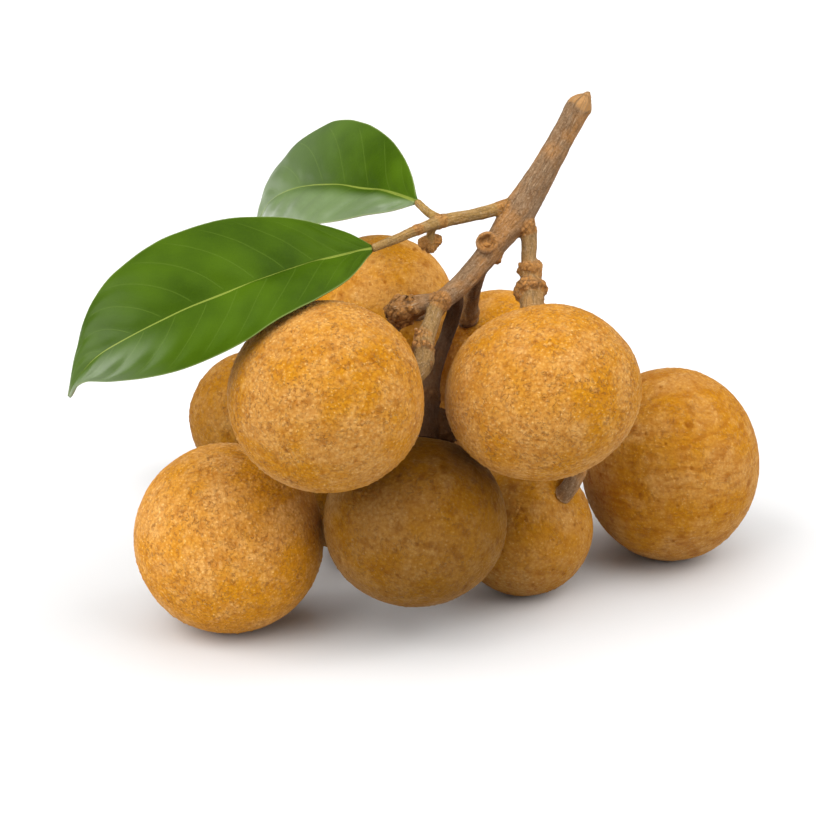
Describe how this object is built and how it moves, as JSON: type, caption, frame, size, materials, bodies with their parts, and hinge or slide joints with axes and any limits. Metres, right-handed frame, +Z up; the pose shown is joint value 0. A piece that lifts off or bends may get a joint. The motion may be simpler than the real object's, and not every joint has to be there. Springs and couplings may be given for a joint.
{
  "type": "longan bunch",
  "caption": "Bunch of round tan longans on a forked woody stem with leathery green leaves, lying on its lowest fruits.",
  "frame": {"origin": "on the surface that the bunch lies on, under the middle of its outer box", "axes": "+Z up, +X to the right along the longest side, -Y towards the side with the two front fruits, the open fork and the near leaf"},
  "size_m": [0.0998, 0.0937, 0.0758],
  "materials": {
    "skin": "thin brittle fruit skin, matt, finely granular, golden tan with brown flecks and mottles",
    "bark": "grey-brown bark, matt, with knots, ridges and pale breathing pores",
    "leaf": "leathery leaf, satin and waxy above, yellow-green midrib and veins, paler below"
  },
  "bodies": {
    "root": {"stem": "bark", "leaf_near": "leaf", "leaf_far": "leaf", "fruit_front_left": "skin", "fruit_front_right": "skin", "fruit_top_back": "skin", "fruit_middle": "skin", "fruit_behind": "skin", "fruit_inner": "skin", "fruit_low_left": "skin", "fruit_low_right": "skin", "fruit_low_back": "skin", "fruit_small": "skin"}
  },
  "joints": []
}
